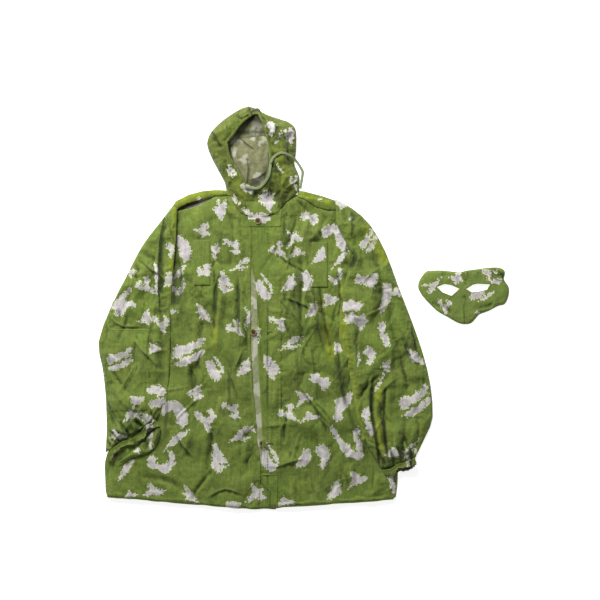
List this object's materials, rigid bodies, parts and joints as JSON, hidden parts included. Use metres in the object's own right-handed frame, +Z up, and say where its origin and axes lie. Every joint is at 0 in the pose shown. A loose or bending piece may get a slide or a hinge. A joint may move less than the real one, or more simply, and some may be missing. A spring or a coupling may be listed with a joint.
{
  "type": "hooded camouflage coverall",
  "caption": "Loose one-piece hooded coverall of thin printed cotton, laid face up with its legs folded under, and a separate cloth half face mask with eye holes.",
  "frame": {"origin": "on the resting plane, on the line of the front opening, 602 mm above the crotch fold", "axes": "+X towards the wearer's left, +Y towards the hood, +Z up out of the front of the laid suit"},
  "size_m": [1.236, 1.208, 0.043],
  "materials": {
    "printed_cotton": "thin plain-weave cotton printed with pale leaf blotches",
    "cotton_reverse": "reverse of the printed cotton, the print showing through",
    "cord_tape": "flat woven tape",
    "elastic": "braided elastic",
    "button_horn": "mottled horn-like plastic"
  },
  "bodies": {
    "coverall": {"back_panel": "cotton_reverse", "front_panel_right": "printed_cotton", "front_panel_left": "printed_cotton", "button_underlap": "cotton_reverse", "neck_overlap": "printed_cotton", "crotch_gusset": "printed_cotton", "slit_welt_right": "printed_cotton", "slit_welt_left": "printed_cotton"},
    "neck_button": {"neck_button": "button_horn"},
    "middle_button": {"middle_button": "button_horn"},
    "lower_button": {"lower_button": "button_horn"},
    "fly_flap": {"fly_overlap": "printed_cotton"},
    "slit_flap_right": {"slit_flap_right": "printed_cotton"},
    "slit_flap_left": {"slit_flap_left": "printed_cotton"},
    "hood": {"hood_centre_panel": "cotton_reverse", "hood_right_panel": "printed_cotton", "hood_left_panel": "printed_cotton", "hood_hem_channel": "printed_cotton", "drawcord": "cord_tape"},
    "drawcord_loop": {"drawcord_loop": "cord_tape"},
    "sleeve_right": {"sleeve_right_front": "printed_cotton", "sleeve_right_back": "printed_cotton", "elbow_patch_right": "printed_cotton", "cuff_band_right": "printed_cotton", "cuff_elastic_right": "elastic"},
    "sleeve_left": {"sleeve_left_front": "printed_cotton", "sleeve_left_back": "printed_cotton", "elbow_patch_left": "printed_cotton", "cuff_band_left": "printed_cotton", "cuff_elastic_left": "elastic"},
    "leg_right": {"leg_right_front": "printed_cotton", "leg_right_back": "printed_cotton", "ankle_band_right": "printed_cotton", "ankle_elastic_right": "elastic"},
    "leg_left": {"leg_left_front": "printed_cotton", "leg_left_back": "printed_cotton", "ankle_band_left": "printed_cotton", "ankle_elastic_left": "elastic"},
    "mask": {"mask_panel_right": "printed_cotton", "mask_loop_right": "elastic"},
    "mask_left_half": {"mask_panel_left": "printed_cotton", "mask_loop_left": "elastic"}
  },
  "joints": [
    {"name": "neck_button_turn", "type": "hinge", "parent": "coverall", "child": "neck_button", "pos_m": [0.009, 0.264, 0.0185], "axis": [0, 0, 1], "range_deg": [-90, 90]},
    {"name": "middle_button_turn", "type": "hinge", "parent": "coverall", "child": "middle_button", "pos_m": [-0.005, -0.07, 0.015], "axis": [0, 0, 1], "range_deg": [-90, 90]},
    {"name": "lower_button_turn", "type": "hinge", "parent": "coverall", "child": "lower_button", "pos_m": [0.022, -0.404, 0.015], "axis": [0, 0, 1], "range_deg": [-90, 90]},
    {"name": "fly_open", "type": "hinge", "parent": "coverall", "child": "fly_flap", "pos_m": [0.078, 0, 0.01875], "axis": [0, 1, 0], "range_deg": [0, 150]},
    {"name": "slit_flap_right_lift", "type": "hinge", "parent": "coverall", "child": "slit_flap_right", "pos_m": [-0.135, 0.139, 0.01555], "axis": [0, 1, 0], "range_deg": [0, 75]},
    {"name": "slit_flap_left_lift", "type": "hinge", "parent": "coverall", "child": "slit_flap_left", "pos_m": [0.17, 0.133, 0.01555], "axis": [0, -1, 0], "range_deg": [0, 75]},
    {"name": "hood_fold", "type": "hinge", "parent": "coverall", "child": "hood", "pos_m": [0.024, 0.347, 0.02], "axis": [1, 0, 0], "range_deg": [0, 100]},
    {"name": "drawcord_pull", "type": "slide", "parent": "hood", "child": "drawcord_loop", "axis": [1, 0, 0], "range_m": [0, 0.025]},
    {"name": "sleeve_right_swing", "type": "hinge", "parent": "coverall", "child": "sleeve_right", "pos_m": [-0.245, 0.25, 0.02], "axis": [0, 0, -1], "range_deg": [0, 60]},
    {"name": "sleeve_left_swing", "type": "hinge", "parent": "coverall", "child": "sleeve_left", "pos_m": [0.262, 0.245, 0.02], "axis": [0, 0, 1], "range_deg": [0, 60]},
    {"name": "leg_right_unfold", "type": "hinge", "parent": "coverall", "child": "leg_right", "pos_m": [0, -0.602, 0.0065], "axis": [-0.9966, 0.0819, 0], "range_deg": [0, 180]},
    {"name": "leg_left_unfold", "type": "hinge", "parent": "coverall", "child": "leg_left", "pos_m": [0, -0.602, 0.0065], "axis": [-0.9978, -0.0659, 0], "range_deg": [0, 180]},
    {"name": "mask_lift", "type": "slide", "parent": "coverall", "child": "mask", "axis": [0, 0, 1], "range_m": [0, 0.15]},
    {"name": "mask_fold", "type": "hinge", "parent": "mask", "child": "mask_left_half", "pos_m": [0.621, 0.03, 0.009], "axis": [0, -1, 0], "range_deg": [0, 170]}
  ]
}
